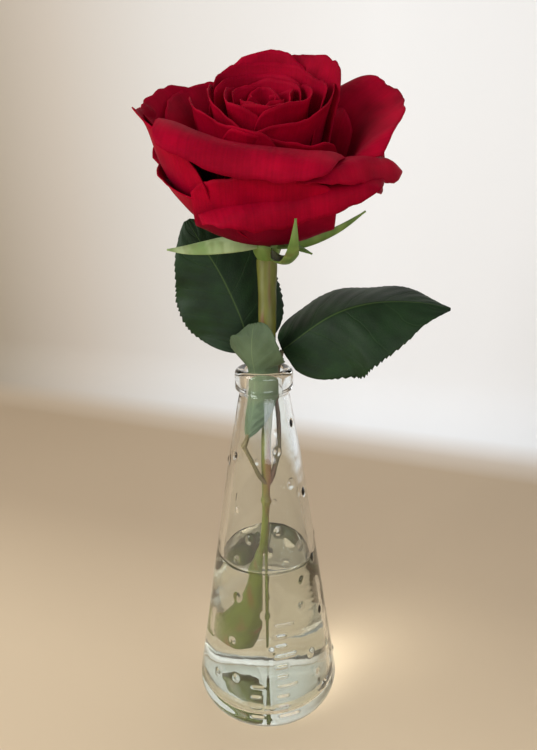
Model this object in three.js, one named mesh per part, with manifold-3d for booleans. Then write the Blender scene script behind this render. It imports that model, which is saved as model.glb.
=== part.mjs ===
// One cut red rose standing in a small conical bottle of bubbled glass that is half full of water.
// Millimetres, +Z up. The origin is the middle of the bottle's flat base, and -Y is the front.

import * as THREE from 'three';
import { mergeVertices } from 'three/addons/utils/BufferGeometryUtils.js';
import Module from 'manifold-3d';

const wasm = await Module();
wasm.setup();

// ---------------------------------------------------------------- driving dimensions

const GAP = 0.3; // clearance between two nodes that touch
const WELD = 1e-3; // vertices nearer than this are one vertex
const SMOOTHING = 0.08; // a joined solid's surface may shift by this much where small facets merge

const BOTTLE = {
  footRadius: 27, // flat ring and floor that the bottle stands on
  heelRadius: 34.9, // widest place, just above the rounded heel
  heelHeight: 8,
  shoulderRadius: 16.9, // where the straight cone runs into the neck
  shoulderHeight: 127,
  neckRadius: 11.2,
  neckHeight: 159,
  collarRadius: 13,
  collarHeight: 162,
  height: 170,
  mouthRadius: 8.4,
  wall: 3.1,
  floor: 6.5,
  sides: 40,
};

const BUBBLE = { radius: 1.9, stretch: 1.25, sink: 0.35, across: 6, along: 3 };

// Places of the raised bubbles on the front, as azimuth in degrees and height.
const FRONT_BUBBLES = [
  [235, 85], [239, 67.5], [310, 73.6], [313, 90], [306, 61.5], [334, 52], [334, 80], [236, 45],
  [274, 43], [312, 36], [318, 24], [324, 14.5], [242, 27], [223, 24.5], [338, 32], [268, 60.6],
  [336, 113], [310, 120], [214, 132], [228, 107.5], [332, 146], [250, 96], [285, 100], [290, 136],
];
const BACK_BUBBLES = { count: 16, lowest: 14, highest: 146, turn: 137.5, from: 0, to: 180 };

// Plain raised bars where a bottle of this kind is embossed, as first and last azimuth and height.
const BAR = { rise: 0.65, thickness: 1.1 };
const BARS = { pitch: 5, rows: 10, lowest: 10, start: 278, long: 17, short: 9 };
const SMALL_BARS = { pitch: 5, rows: 4, lowest: 10, start: 257.5, long: 9, short: 6 };

const WATER_LEVEL = 79;

// Stem: points up the middle with the radius there, from the cut end in the water to the flower.
const STEM = [
  [-8.5, 22.4, 14, 5.2], [-7.4, 20.1, 23, 5.2], [-4.4, 13.8, 42, 4.5], [-2.4, 7.4, 62, 3.3],
  [-1.2, 3, 79, 2.2], [-0.7, 1, 92, 1.9], [-0.2, 0, 104, 2.3], [0.4, 0, 116, 2.5], [0.6, 0, 133, 2.6],
  [1.1, 0, 145, 2.7], [1.7, 0.2, 166, 3.5], [1.7, 1.4, 187, 3.8], [1.9, 3.8, 203, 4.0], [2, 5.9, 216.6, 4.3],
];
const STEM_END = [-8.8, 23, 11.8, 5.2]; // the stem's hole in the water runs on to here
const STEM_SIDES = 8;
const BUD = { at: [-0.2, -1.9, 104.5], radius: 1.7, stretch: 1.6 };

const LEAF_STALK_SIDES = 5;
const FRONT_STALK = [
  [0.2, -1, 114.5, 1.2], [-2.9, -2.6, 119, 0.95], [-6, -3.2, 126.5, 0.85], [-8.2, -3.6, 133, 0.85],
  [-7.7, -4.4, 138, 0.9],
];
const SIDE_STALK = [
  [1.1, 0.4, 113.5, 1.5], [3.9, 1, 119, 1.2], [6.4, 1.4, 130, 1.1], [6.6, 2.4, 142, 1.05],
  [5.9, 3.3, 155, 1.05], [6.1, 3.3, 167, 1.05], [7.6, 2.3, 176, 1.1],
];
const BACK_STALK = [
  [6.1, 3.3, 166, 0.95], [4.2, 5.9, 172, 0.85], [-1, 7.4, 174.4, 0.85], [-5, 8, 175.4, 0.85],
];

const BLADE = 0.8; // thickness of leaves, sepals and outer petals
const INNER_BLADE = 0.65;

// Leaves: midrib points, the way the seen face looks, greatest half width and the folds of the blade.
// Low powers in blunt give a blunt base and tip.
const LEAVES = {
  leaf_right: {
    color: 0x203226, face: [0, -0.6, 0.8], width: 26.5, widest: 0.4, blunt: [0.34, 0.95], fold: 0.36,
    bend: 60, wave: 1.1, teeth: 9,
    midrib: [[8.2, 2.1, 177.3], [28, 0.5, 192], [45, -2, 198.3], [64, -4, 199], [78.5, -6, 196.5]],
  },
  leaf_left: {
    color: 0x203019, face: [0.12, -0.95, 0.3], width: 25, widest: 0.4, blunt: [0.45, 0.8], fold: 0.12,
    bend: 70, wave: 1.2, teeth: 9,
    midrib: [
      [-6.2, 8.2, 176.5], [-10.5, 10.6, 191], [-18.5, 12.7, 209], [-26.2, 13.4, 222], [-32.5, 13.4, 233],
    ],
  },
  leaf_front: {
    color: 0x667359, face: [-0.55, -0.83, 0], width: 14.5, widest: 0.7, blunt: [0.8, 0.5], bend: 6.5,
    flare: 170, free: 0.6, teeth: 7,
    midrib: [
      [-7.4, -4.6, 139], [-5.2, -4.9, 150], [-3.8, -5.2, 160], [-3.9, -5.5, 169], [-4.9, -7.6, 178],
      [-4.6, -8, 186], [-3.8, -4.8, 191],
    ],
  },
};

// The flower leans to the front. Petals and calyx are drawn in its own frame, with +Z up its axis.
const FLOWER = { at: [2, 2, 226], tilt: 28 };
const HIP = [[0, -9.6], [4.4, -9.6], [5.6, -7], [6.3, -4], [6.2, -1.6], [5.2, -GAP], [0, -GAP]];
const CORE = [[0, 0], [4.6, 0], [10, 4], [14.5, 11], [17.5, 20], [17.5, 32], [14, 41], [0, 47]];

// Sepals in the object's frame: midrib, the way the seen face looks, and half width.
const SEPALS = [
  {
    midrib: [
      [-0.5, 1.5, 223.5], [-7, -4, 225.2], [-15, -7, 224.6],
      [-24, -9, 223.2], [-31, -10.5, 222.4], [-37.5, -12, 222.5],
    ],
    face: [0.1, -0.8, 0.6], width: 4.3,
  },
  {
    midrib: [
      [4, -0.5, 221], [7.6, -15, 217.8], [9.8, -32, 218.6],
      [10.5, -45.4, 221.6], [11, -53.2, 227.3], [11.4, -54.8, 235],
    ],
    face: [0.2, -0.9, -0.3], width: 4.6,
  },
  {
    midrib: [[5, 1.5, 222.5], [12, -3.5, 223.2], [20.5, -5.5, 219.6]],
    face: [0.1, -0.6, 0.8], width: 2.2,
  },
  {
    midrib: [[5, 4, 223.5], [17, 3, 223], [31, 2, 228.4], [43, 3, 236]],
    face: [0.1, -0.8, -0.5], width: 2.4,
  },
  {
    midrib: [[1.5, 6, 223.5], [3.5, 17, 223], [6, 27, 218]],
    face: [0, 0.2, 0.95], width: 3,
  },
];

// Whorled heart of the flower: rolled petals at the golden angle, growing outwards.
const HEART = { petals: 12, turn: 137.5, start: 40, radius: 3, growth: 13, height: 55.5, rise: 2.5 };

// Open petals. phi is the azimuth of the middle, crest and tip are [distance from axis, height] of the
// highest fold and of the edge, and the three headings are degrees away from the flower's axis. A petal
// begins at from, inside the core.
const PETALS = [
  {
    name: 'vee_left', seat: 9, phi: 206, width: 54, crest: [17, 38], tip: [19.5, 56.5],
    headings: [50, 2, 14], cup: [15, 34], roll: 12, rounding: 0.07, power: 3, corner: 0.16, sway: -3,
    droop: 4, from: 0.52,
  },
  {
    name: 'vee_right', seat: 8, phi: 322, width: 62, crest: [18, 38], tip: [22, 55.5],
    headings: [48, 4, 16], cup: [15, 32], roll: 12, rounding: 0.07, power: 3, corner: 0.16, sway: 3,
    droop: 1, from: 0.52,
  },
  {
    name: 'mid_left', seat: 7.4, phi: 222, width: 56, crest: [21, 37], tip: [25, 55],
    headings: [52, 8, 22], cup: [16, 36], roll: 18, rounding: 0.1, power: 3, corner: 0.18, from: 0.52,
  },
  {
    name: 'mid_front', seat: 6.6, phi: 286, width: 46, crest: [23, 36], tip: [28, 51],
    headings: [52, 10, 26], cup: [16, 38], roll: 18, rounding: 0.1, power: 3, corner: 0.18, sway: -5,
    from: 0.52,
  },
  {
    name: 'hump_back', seat: 7, phi: 54, width: 46, crest: [22, 42], tip: [31, 61.5],
    headings: [50, 8, 36], cup: [15, 26], roll: 35, rounding: 0.14, corner: 0.08, sway: -3, droop: 1,
    spiral: 3, from: 0.52,
  },
  {
    name: 'cup_back', seat: 5, phi: 95, width: 45, crest: [24, 41], tip: [29.5, 61.5],
    headings: [50, 8, 24], cup: [15, 34], roll: 30, rounding: 0.2, corner: 0.1, sway: -5, droop: 4,
    from: 0.52,
  },
  {
    name: 'open_right', seat: 3, phi: 8, width: 64, crest: [34, 38], tip: [50, 53],
    headings: [62, 22, 50], cup: [18, 26], roll: 50, rounding: 0.1, power: 3, sway: 2.5, droop: 14,
  },
  {
    name: 'open_back_right', seat: 4, phi: 64, width: 54, crest: [29, 36], tip: [38, 42],
    headings: [58, 24, 50], cup: [18, 34], roll: 50, rounding: 0.2,
  },
  {
    name: 'open_back', seat: 4, phi: 140, width: 54, crest: [29, 38], tip: [38, 51],
    headings: [58, 20, 40], cup: [18, 34], roll: 40, rounding: 0.2, droop: 2,
  },
  {
    name: 'open_left_back', seat: 3, phi: 172, width: 52, crest: [33, 38], tip: [44, 53],
    headings: [60, 30, 50], cup: [18, 28], roll: 45, rounding: 0.18, droop: 3,
  },
  {
    name: 'open_left', seat: 1.5, phi: 203, width: 58, crest: [38.5, 36], tip: [46, 59],
    headings: [60, 20, 40], cup: [18, 34], roll: 30, rounding: 0.16, point: 0.06, droop: 5,
  },
  {
    name: 'fold_front', seat: 3, phi: 259.3, width: 70.5, crest: [35, 53.3], tip: [44, 46.5],
    headings: [45, 78, 165], cup: [20, 44], roll: 0, rounding: 0.15, corner: 0.15, sway: -4, droop: 13,
  },
  {
    name: 'fold_right', seat: 2, phi: 317, width: 49, crest: [42, 46], tip: [48, 37],
    headings: [55, 80, 150], cup: [19, 60], roll: 30, rounding: 0.14, power: 2.4, point: 0.03,
    pointAt: 0.6, sway: -6, droop: 10,
  },
  {
    name: 'outer_front', seat: 0.3, phi: 285, width: 64, crest: [40, 39], tip: [44.2, 30.2],
    headings: [49, 85, 172], cup: [24, 60], roll: 10, rounding: 0.2, power: 2.4, sway: 4, droop: 11.5,
  },
  {
    name: 'outer_right', seat: 0.2, phi: 350, width: 60, crest: [35, 27], tip: [45, 27],
    headings: [66, 70, 110], cup: [22, 32], roll: 60, rounding: 0.22,
  },
  {
    name: 'outer_left', seat: 0.2, phi: 212, width: 60, crest: [36, 27], tip: [41.5, 36],
    headings: [60, 30, 50], cup: [22, 40], roll: 30, rounding: 0.3, droop: 2,
  },
  {
    name: 'outer_back', seat: 0.2, phi: 55, width: 66, crest: [35, 29], tip: [45, 33],
    headings: [64, 60, 100], cup: [22, 34], roll: 55, rounding: 0.28,
  },
  {
    name: 'outer_back_left', seat: 0, phi: 135, width: 66, crest: [36, 29], tip: [46, 34],
    headings: [64, 60, 100], cup: [22, 34], roll: 55, rounding: 0.28,
  },
  {
    name: 'inner_right', seat: 8.6, phi: 26, width: 38, crest: [17, 40], tip: [21, 59],
    headings: [46, 4, 12], cup: [14, 24], roll: 10, rounding: 0.1, power: 3, corner: 0.14, from: 0.52,
  },
  {
    name: 'inner_back', seat: 8.3, phi: 92, width: 46, crest: [16.5, 42], tip: [21, 60.5],
    headings: [46, 4, 16], cup: [14, 24], roll: 14, rounding: 0.12, power: 3, corner: 0.14, from: 0.52,
  },
  {
    name: 'under_front', seat: 1, phi: 269, width: 50, crest: [40, 29], tip: [42, 47],
    headings: [49, 12, 4], cup: [24, 50], roll: 0, rounding: 0.1, power: 3, droop: 3,
  },
];

const MATERIALS = {
  glass: { color: 0xdfe6e3, roughness: 0.08, metalness: 0, transparent: true, opacity: 0.35 },
  water: { color: 0xd5dedb, roughness: 0.03, metalness: 0, transparent: true, opacity: 0.4 },
  stem: { color: 0x5f5b2e, roughness: 0.6, metalness: 0 },
  calyx: { color: 0x4f5a33, roughness: 0.65, metalness: 0 },
  petal: { color: 0x910a26, roughness: 0.75, metalness: 0 },
};

// ---------------------------------------------------------------- shared helpers

const degrees = THREE.MathUtils.degToRad;
const clamp01 = (x) => Math.min(1, Math.max(0, x));

// Welds a geometry's corners, drops collapsed triangles and turns the faces outwards.
function welded(geometry) {
  const bare = new THREE.BufferGeometry();
  bare.setAttribute('position', geometry.getAttribute('position').clone());
  if (geometry.index) bare.setIndex(geometry.index.clone());
  const merged = mergeVertices(bare, WELD);
  const place = merged.getAttribute('position');
  const corner = (i) => new THREE.Vector3().fromBufferAttribute(place, i);
  const faces = [];
  let volume = 0;
  for (let i = 0; i < merged.index.count; i += 3) {
    const [a, b, c] = [0, 1, 2].map((k) => merged.index.getX(i + k));
    if (a === b || b === c || c === a) continue;
    faces.push([a, b, c]);
    volume += corner(a).dot(corner(b).cross(corner(c)));
  }
  merged.setIndex(faces.flatMap(([a, b, c]) => (volume > 0 ? [a, b, c] : [a, c, b])));
  return merged;
}

function toSolid(geometry) {
  const closed = welded(geometry);
  const mesh = new wasm.Mesh({
    numProp: 3,
    vertProperties: new Float32Array(closed.getAttribute('position').array),
    triVerts: new Uint32Array(closed.index.array),
  });
  return new wasm.Manifold(mesh);
}

// The largest body of a solid as a geometry: loose scraps go, and hollows sealed inside are filled.
function toGeometry(solid) {
  const bodies = solid.simplify(SMOOTHING).decompose().sort((a, b) => b.volume() - a.volume());
  const { vertProperties, triVerts } = bodies[0].getMesh();
  const geometry = new THREE.BufferGeometry();
  const rounded = Float32Array.from(vertProperties, (x) => Math.round(x * 1e4) / 1e4);
  geometry.setAttribute('position', new THREE.BufferAttribute(rounded, 3));
  geometry.setIndex(new THREE.BufferAttribute(new Uint32Array(triVerts), 1));
  return welded(geometry);
}

function fuse(geometries) {
  return geometries.map(toSolid).reduce((whole, next) => whole.add(next));
}

function node(name, geometry, finish) {
  const mesh = new THREE.Mesh(geometry, new THREE.MeshStandardMaterial(finish));
  mesh.name = name;
  return mesh;
}

// A turned body about Z from [radius, height] points.
function turned(profile, sides) {
  const points = profile.map(([r, z]) => new THREE.Vector2(r, z));
  return new THREE.LatheGeometry(points, sides).rotateX(Math.PI / 2);
}

// A closed skin through rings of points: walls between rings, and a fan over each end.
function lofted(rings) {
  const count = rings[0].length;
  const position = rings.flat().flatMap((p) => [p.x, p.y, p.z]);
  const index = [];
  for (let i = 0; i + 1 < rings.length; i++) {
    for (let k = 0; k < count; k++) {
      const next = (k + 1) % count;
      const [a, b, c, d] = [i * count + k, i * count + next, (i + 1) * count + next, (i + 1) * count + k];
      index.push(a, b, c, a, c, d);
    }
  }
  for (let k = 1; k + 1 < count; k++) {
    const last = (rings.length - 1) * count;
    index.push(0, k + 1, k, last, last + k, last + k + 1);
  }
  const geometry = new THREE.BufferGeometry();
  geometry.setAttribute('position', new THREE.Float32BufferAttribute(position, 3));
  geometry.setIndex(index);
  return geometry;
}

// A round stalk along [x, y, z, radius] points, made thicker all round by grow.
function stalk(points, sides, steps, grow = 0) {
  const middle = new THREE.CatmullRomCurve3(points.map(([x, y, z]) => new THREE.Vector3(x, y, z)));
  const radii = new THREE.SplineCurve(points.map((p, i) => new THREE.Vector2(i, p[3])));
  const frames = middle.computeFrenetFrames(steps);
  const rings = [];
  for (let i = 0; i <= steps; i++) {
    const centre = middle.getPointAt(i / steps);
    const radius = radii.getPoint(middle.getUtoTmapping(i / steps)).y + grow;
    rings.push(Array.from({ length: sides }, (_, k) => {
      const angle = (k / sides) * 2 * Math.PI;
      return centre.clone()
        .addScaledVector(frames.normals[i], Math.cos(angle) * radius)
        .addScaledVector(frames.binormals[i], Math.sin(angle) * radius);
    }));
  }
  return lofted(rings);
}

// A closed blade: a grid of points made thick along its own normals, split alike on both faces.
function blade(grid, thickness) {
  const rows = grid.length;
  const cols = grid[0].length;
  const step = (i, last) => [Math.max(0, i - 1), Math.min(last, i + 1)];
  const faces = [[], []];
  for (let i = 0; i < rows; i++) {
    for (let j = 0; j < cols; j++) {
      const [i0, i1] = step(i, rows - 1);
      const [j0, j1] = step(j, cols - 1);
      const along = grid[i1][j].clone().sub(grid[i0][j]);
      const across = grid[i][j1].clone().sub(grid[i][j0]);
      const normal = across.cross(along).normalize();
      faces[0].push(grid[i][j].clone().addScaledVector(normal, thickness / 2));
      faces[1].push(grid[i][j].clone().addScaledVector(normal, -thickness / 2));
    }
  }
  const size = rows * cols;
  const position = faces.flat().flatMap((p) => [p.x, p.y, p.z]);
  const index = [];
  const quad = (a, b, c, d) => index.push(a, b, c, a, c, d);
  for (let i = 0; i + 1 < rows; i++) {
    for (let j = 0; j + 1 < cols; j++) {
      const [a, b, c, d] = [i * cols + j, i * cols + j + 1, (i + 1) * cols + j + 1, (i + 1) * cols + j];
      index.push(a, b, c, a, c, d);
      index.push(size + a, size + c, size + b, size + a, size + d, size + c);
    }
  }
  for (let j = 0; j + 1 < cols; j++) {
    quad(j, size + j, size + j + 1, j + 1);
    const top = (rows - 1) * cols + j;
    quad(top + 1, size + top + 1, size + top, top);
  }
  for (let i = 0; i + 1 < rows; i++) {
    const [left, right] = [i * cols, i * cols + cols - 1];
    quad(left + cols, size + left + cols, size + left, left);
    quad(right, size + right, size + right + cols, right + cols);
  }
  const geometry = new THREE.BufferGeometry();
  geometry.setAttribute('position', new THREE.Float32BufferAttribute(position, 3));
  geometry.setIndex(index);
  return geometry;
}

// ---------------------------------------------------------------- bottle and water

// Points of the rounded heel, from the flat foot up to the widest place.
function heel(inset, steps = 5) {
  return Array.from({ length: steps + 1 }, (_, i) => {
    const angle = (i / steps) * Math.PI / 2;
    const spread = BOTTLE.heelRadius - BOTTLE.footRadius - inset;
    return [BOTTLE.footRadius + spread * Math.sin(angle), BOTTLE.heelHeight * (1 - Math.cos(angle))];
  });
}

// Radius of the outside at a height on the cone or the neck.
function wallRadius(z) {
  const { heelRadius, heelHeight, shoulderRadius, shoulderHeight, neckRadius, neckHeight } = BOTTLE;
  const cone = THREE.MathUtils.mapLinear(z, heelHeight, shoulderHeight, heelRadius, shoulderRadius);
  const neck = THREE.MathUtils.mapLinear(z, shoulderHeight, neckHeight, shoulderRadius, neckRadius);
  return z < shoulderHeight ? cone : neck;
}

// The hollow of the bottle from its floor up to a height, drawn in by a clearance.
function hollow(top, clearance) {
  const floor = BOTTLE.floor + clearance;
  const low = BOTTLE.floor + 5.5;
  const inner = (z) => wallRadius(z) - BOTTLE.wall - clearance;
  const heights = [low, 42, 79, BOTTLE.shoulderHeight].filter((z) => z < top);
  return [
    [0, floor + 0.8], [22, floor], [28.4 - clearance, floor + 1.6],
    ...heights.map((z) => [inner(z), z]),
    [inner(top), top],
  ];
}

function bottleShell() {
  const { neckRadius, neckHeight, collarRadius, collarHeight, height, mouthRadius } = BOTTLE;
  const outside = [
    [0, 0], ...heel(0), [wallRadius(42), 42], [wallRadius(79), 79],
    [BOTTLE.shoulderRadius, BOTTLE.shoulderHeight], [neckRadius, neckHeight],
    [collarRadius - 0.6, collarHeight - 1.4], [collarRadius, collarHeight],
    [collarRadius, height - 2.4], [collarRadius - 1, height - 0.5], [collarRadius - 2.4, height],
    [mouthRadius + 0.8, height - 0.2], [mouthRadius, height - 1.4],
  ];
  const inside = hollow(neckHeight, 0).reverse();
  return turned([...outside, ...inside], BOTTLE.sides);
}

// One raised bubble: a low dome with its middle just inside the glass.
function bubble(azimuth, z) {
  const dome = new THREE.SphereGeometry(BUBBLE.radius, BUBBLE.across, BUBBLE.along);
  const angle = degrees(azimuth);
  const radius = wallRadius(z) - BUBBLE.radius * BUBBLE.sink;
  return dome.rotateX(Math.PI / 2).scale(0.8, 1, BUBBLE.stretch).rotateZ(angle)
    .translate(radius * Math.cos(angle), radius * Math.sin(angle), z);
}

function bubbles() {
  const { count, lowest, highest, turn, from, to } = BACK_BUBBLES;
  const back = Array.from({ length: count }, (_, i) => [
    from + ((i * turn) % 360) * (to - from) / 360,
    lowest + (highest - lowest) * (i + 0.5) / count,
  ]);
  return [...FRONT_BUBBLES, ...back].map(([azimuth, z]) => bubble(azimuth, z));
}

// A column of plain raised bars that follow the round of the glass, long and short by turns.
function bars({ pitch, rows, lowest, start, long, short }) {
  return Array.from({ length: rows }, (_, i) => {
    const z = lowest + i * pitch;
    const sweep = degrees(i % 3 === 0 ? long : short);
    const radius = wallRadius(z);
    const ring = (t) => {
      const angle = degrees(start) + sweep * t;
      const outer = radius + BAR.rise;
      const inner = radius - 1.2;
      const at = (r, dz) => new THREE.Vector3(r * Math.cos(angle), r * Math.sin(angle), z + dz);
      const half = BAR.thickness / 2;
      return [at(inner, -half), at(outer, -half), at(outer, half), at(inner, half)];
    };
    return lofted([0, 0.5, 1].map(ring));
  });
}

function bottle() {
  return toGeometry(fuse([bottleShell(), ...bubbles(), ...bars(BARS), ...bars(SMALL_BARS)]));
}

function water() {
  const body = turned([...hollow(WATER_LEVEL, GAP), [0, WATER_LEVEL]], BOTTLE.sides);
  const hole = stalk([STEM_END, ...STEM], STEM_SIDES, 33, 2 * GAP);
  return toGeometry(toSolid(body).subtract(toSolid(hole)));
}

// ---------------------------------------------------------------- stem and leaves

function stem() {
  const bud = new THREE.SphereGeometry(BUD.radius, 8, 5).rotateX(Math.PI / 2).scale(1, 1, BUD.stretch)
    .translate(...BUD.at);
  const stalks = [FRONT_STALK, SIDE_STALK, BACK_STALK].map((p) => stalk(p, LEAF_STALK_SIDES, 12));
  const seat = inFlower(turned(HIP.map(([r, z]) => [r && r + GAP, z - GAP]), 16));
  return toGeometry(fuse([stalk(STEM, STEM_SIDES, 32), bud, ...stalks]).subtract(toSolid(seat)));
}

// Half width of a leaf from stalk to tip, as a share of the greatest.
function leafOutline(t, widest, blunt) {
  const s = t < widest ? (t / widest) * 0.5 : 0.5 + ((t - widest) / (1 - widest)) * 0.5;
  return Math.sin(Math.PI * s) ** blunt[t < widest ? 0 : 1];
}

// Grid of a leaf: the blade folds along the midrib, bends to the back and waves at its margin.
function leafGrid(shape, rows, cols) {
  const { midrib, face, width, widest, blunt } = shape;
  const { fold = 0, bend = 60, flare = 0, free = 0, wave = 0, teeth = 0 } = shape;
  const rib = new THREE.CatmullRomCurve3(midrib.map((p) => new THREE.Vector3(...p)));
  const seen = new THREE.Vector3(...face).normalize();
  const grid = [];
  for (let i = 0; i <= rows; i++) {
    const t = i / rows;
    const centre = rib.getPointAt(t);
    const side = rib.getTangentAt(t).cross(seen).normalize();
    const out = side.clone().cross(rib.getTangentAt(t)).normalize();
    const radius = bend + flare * Math.max(0, t - free);
    const notch = teeth && i % 2 ? 0.9 : 1;
    const half = Math.max(0.5, width * leafOutline(0.012 + 0.978 * t, widest, blunt));
    grid.push(Array.from({ length: cols + 1 }, (_, j) => {
      const u = (j / cols) * 2 - 1;
      const reach = half * Math.abs(u) * (Math.abs(u) === 1 ? notch : 1);
      const turn = reach / radius;
      const across = Math.sign(u) * radius * Math.sin(turn);
      const ripple = wave * u * u * Math.sin(t * 17 + 2 * Math.sign(u));
      const back = radius * (1 - Math.cos(turn)) + fold * reach + ripple;
      return centre.clone().addScaledVector(side, across).addScaledVector(out, -back);
    }));
  }
  return grid;
}

function leaf(shape) {
  return toGeometry(toSolid(blade(leafGrid(shape, 2 * shape.teeth, 6), BLADE)));
}

function calyx() {
  const hip = inFlower(turned(HIP, 16));
  const sepals = SEPALS.map(({ midrib, face, width }) => {
    const shape = { midrib, face, width, widest: 0.3, blunt: [0.6, 0.9], bend: 5.5, fold: 0.1 };
    return blade(leafGrid(shape, 9, 2), BLADE);
  });
  return toGeometry(fuse([hip, ...sepals]));
}

// ---------------------------------------------------------------- flower

function inFlower(geometry) {
  return geometry.rotateX(degrees(FLOWER.tilt)).translate(...FLOWER.at);
}

// Side view of a petal's middle, from its root over the crest to the tip, as distance and height.
function petalSpine({ root = 4, seat = 0, crest, tip, headings, handle = 0.4 }) {
  const [start, top, end] = [[root, seat], crest, tip].map(([r, z]) => new THREE.Vector2(r, z));
  const [leaves, turns, ends] = headings.map(degrees).map((a) => new THREE.Vector2(Math.sin(a), Math.cos(a)));
  const rise = start.distanceTo(top) * handle;
  const fall = top.distanceTo(end) * handle;
  const spine = new THREE.CurvePath();
  spine.add(new THREE.CubicBezierCurve(
    start, start.clone().addScaledVector(leaves, rise), top.clone().addScaledVector(turns, -rise), top));
  spine.add(new THREE.CubicBezierCurve(
    top, top.clone().addScaledVector(turns, fall), end.clone().addScaledVector(ends, -fall), end));
  return spine;
}

// Grid of a petal in the flower's frame. cup is the bending radius across the petal at its root and at
// its edge, roll turns the side edges back, rounding, corner and point shape the rim, sway lifts one
// side and droop lowers both.
function petalGrid(petal, rows, cols) {
  const {
    phi, width, cup, claw = 0.3, roll = 40, rollFrom = 0.6, rounding = 0.3, power = 2.6, corner = 0,
    point = 0, pointAt = 0, spiral = 1.2, sway = 0, droop = 0, ruffle = 0, phase = 0, from = 0,
  } = petal;
  const spine = petalSpine(petal);
  const azimuth = degrees(phi);
  const slices = 10;
  const grid = [];
  for (let i = 0; i <= rows; i++) {
    const v = from + (1 - from) * i / rows;
    const half = (width / 2) * (claw + (1 - claw) * Math.sin((Math.PI / 2) * Math.min(1, v / 0.62)));
    const radius = 1 / THREE.MathUtils.lerp(1 / cup[0], 1 / cup[1], Math.min(1, v / 0.7));
    grid.push(Array.from({ length: cols + 1 }, (_, j) => {
      const u = (j / cols) * 2 - 1;
      const reach = Math.abs(u);
      const peak = point * Math.exp(-(((u - pointAt) / 0.16) ** 2));
      const rim = 1 - rounding * reach ** power - corner * (reach === 1) + peak;
      const s = clamp01((v * rim) / (1 + point));
      const place = spine.getPointAt(s);
      const tangent = spine.getTangentAt(s);
      const heading = Math.min(Math.atan2(tangent.x, tangent.y), degrees(100));
      let [across, inward] = [0, 0];
      for (let k = 0; k < slices; k++) {
        const w = ((k + 0.5) / slices) * reach;
        const back = degrees(roll) * v ** 1.5 * Math.max(0, (w - rollFrom) / (1 - rollFrom)) ** 1.3;
        const turn = (w * half) / radius - back;
        across += Math.cos(turn) * half * reach / slices;
        inward += Math.sin(turn) * half * reach / slices;
      }
      inward += ruffle * v ** 3 * Math.sin(2 * Math.PI * u + phase);
      const r = place.x - inward * Math.cos(heading) + spiral * u;
      const z = place.y + inward * Math.sin(heading) + (sway * u - droop * u * u) * v;
      const side = across * Math.sign(u);
      const [cos, sin] = [Math.cos(azimuth), Math.sin(azimuth)];
      return new THREE.Vector3(r * cos - side * sin, r * sin + side * cos, z);
    }));
  }
  return grid;
}

function heartPetal(i) {
  const share = i / (HEART.petals - 1);
  const radius = HEART.radius + HEART.growth * share;
  const height = HEART.height + HEART.rise * share;
  return {
    phi: HEART.start + HEART.turn * i, width: radius * 3, root: 1.5 + 4 * share,
    crest: [radius * 0.95 + 1, height * 0.6], tip: [radius + 1, height],
    headings: [12 + 40 * share, -2, -14 + 34 * share], cup: [radius * 0.8 + 1, radius + 1.5 * share],
    roll: 25 * share, rollFrom: 0.7, spiral: 1.6, claw: 0.35, rounding: 0.12, corner: 0.14, ruffle: 0.7,
    phase: i * 1.7, from: 0.55,
  };
}

function bloom() {
  const heart = Array.from({ length: HEART.petals }, (_, i) => {
    return blade(petalGrid(heartPetal(i), 2, 4), INNER_BLADE);
  });
  const open = PETALS.map(({ from = 0.26, ...petal }) => {
    const rows = Math.round(6 * (1 - from));
    return blade(petalGrid({ ...petal, from }, rows, 6), BLADE);
  });
  const core = turned(CORE, 14);
  return toGeometry(fuse([core, ...heart, ...open].map(inFlower)));
}

// ---------------------------------------------------------------- the object

const rose = new THREE.Group();
rose.add(
  node('bud_vase', bottle(), MATERIALS.glass),
  node('water', water(), MATERIALS.water),
  node('rose_stem', stem(), MATERIALS.stem),
  node('calyx', calyx(), MATERIALS.calyx),
  node('rose_bloom', bloom(), MATERIALS.petal),
);
for (const [name, shape] of Object.entries(LEAVES)) {
  rose.add(node(name, leaf(shape), { color: shape.color, roughness: 0.5, metalness: 0 }));
}

export default rose;
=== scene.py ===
"""One cut red rose in a small conical bottle of bubbled glass, half full of water, on a pale table."""

import math

import bmesh
import bpy
from mathutils import Matrix, Vector, noise


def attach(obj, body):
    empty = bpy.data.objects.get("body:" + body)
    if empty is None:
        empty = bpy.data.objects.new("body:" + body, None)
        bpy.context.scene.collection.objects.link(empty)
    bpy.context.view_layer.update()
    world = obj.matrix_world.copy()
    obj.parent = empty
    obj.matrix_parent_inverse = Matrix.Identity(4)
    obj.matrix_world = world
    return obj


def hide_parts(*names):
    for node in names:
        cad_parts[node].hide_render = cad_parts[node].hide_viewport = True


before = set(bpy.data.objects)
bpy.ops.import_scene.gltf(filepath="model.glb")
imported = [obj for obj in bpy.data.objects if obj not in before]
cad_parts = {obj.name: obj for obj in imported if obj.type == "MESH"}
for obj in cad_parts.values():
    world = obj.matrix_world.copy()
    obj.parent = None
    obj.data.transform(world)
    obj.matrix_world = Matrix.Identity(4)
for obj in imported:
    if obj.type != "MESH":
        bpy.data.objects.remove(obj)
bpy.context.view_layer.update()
MM = 0.001

# ---------------------------------------------------------------- sizes, in millimetres and degrees

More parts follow.
